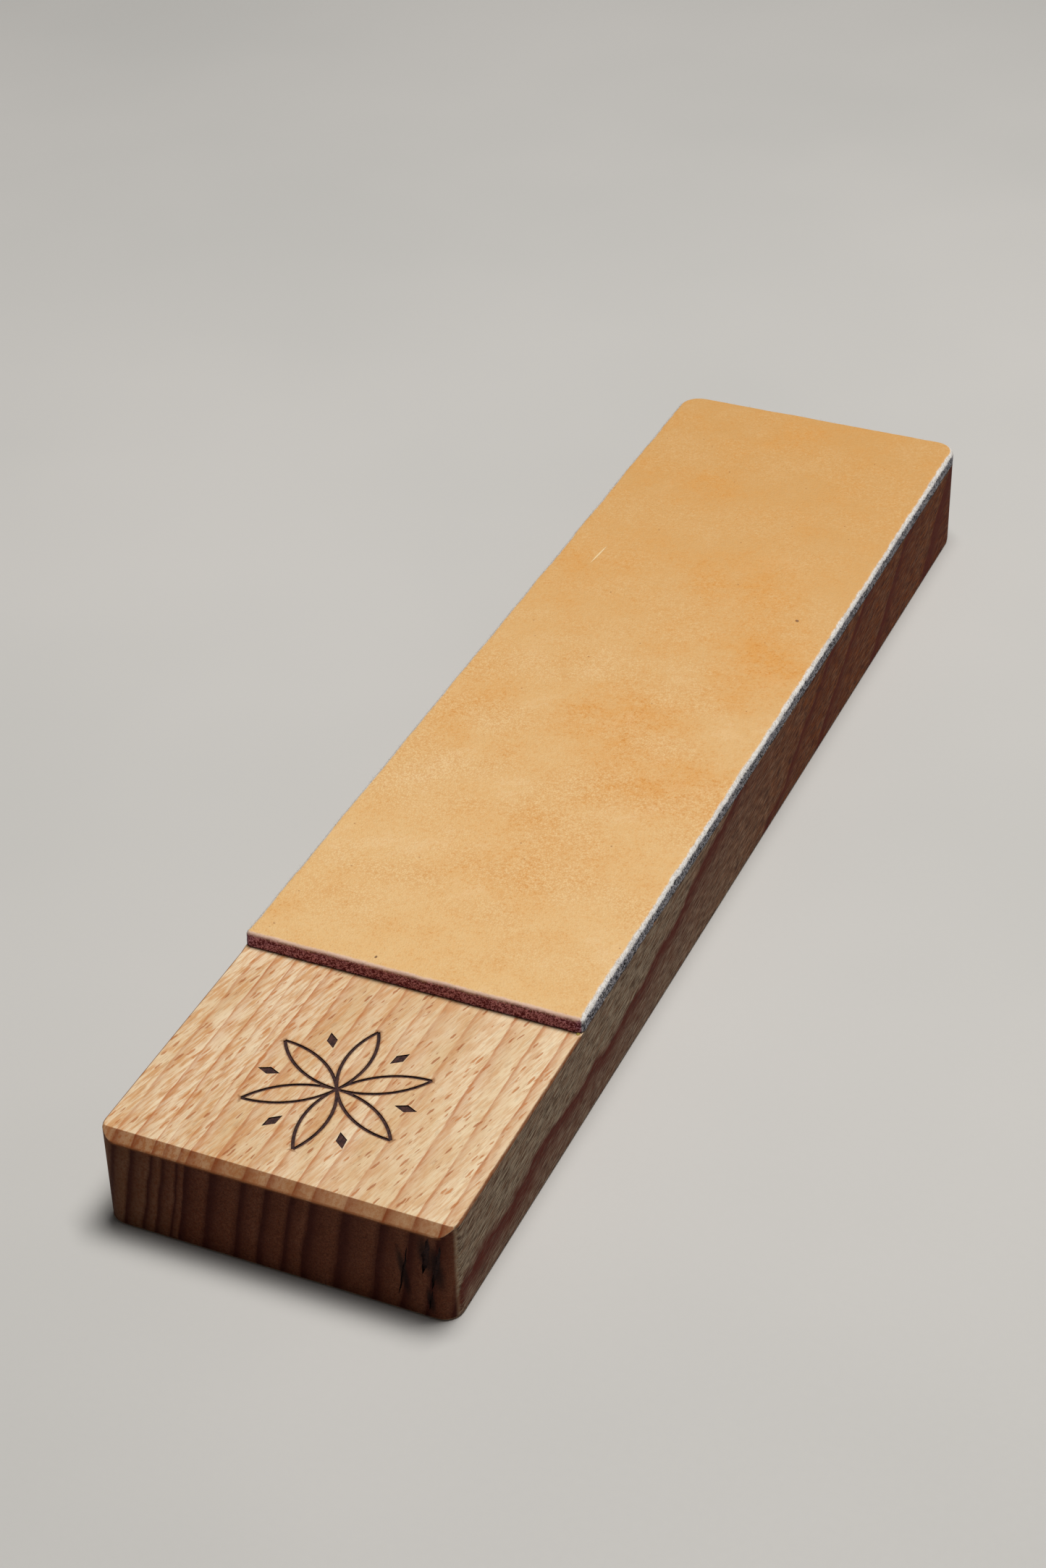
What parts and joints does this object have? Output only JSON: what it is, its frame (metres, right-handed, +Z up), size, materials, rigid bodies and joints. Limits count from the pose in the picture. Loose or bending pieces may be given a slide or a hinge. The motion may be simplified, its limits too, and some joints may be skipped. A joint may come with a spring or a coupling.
{
  "type": "leather strop",
  "caption": "Bench strop: a rectangular wood block with a smooth leather pad glued on top and a bare wood grip at the near end, for honing and polishing blade edges.",
  "frame": {"origin": "centre of the block's underside, on the surface that the strop stands on", "axes": "+Z up through the leather, +Y along the block from the bare grip towards the far end, +X across the block to the right when the grip end is nearest"},
  "size_m": [0.065, 0.27, 0.0232],
  "materials": {
    "beech": "planed and sanded beech, unvarnished, with a rosette burnt into the grip",
    "contact_adhesive": "dried contact adhesive, yellowish and slightly glossy",
    "strop_leather": "natural vegetable-tanned leather, smooth grain side up, raw fibrous cut edges"
  },
  "bodies": {
    "root": {"wood_block": "beech", "adhesive_layer": "contact_adhesive", "leather_strip": "strop_leather"}
  },
  "joints": []
}
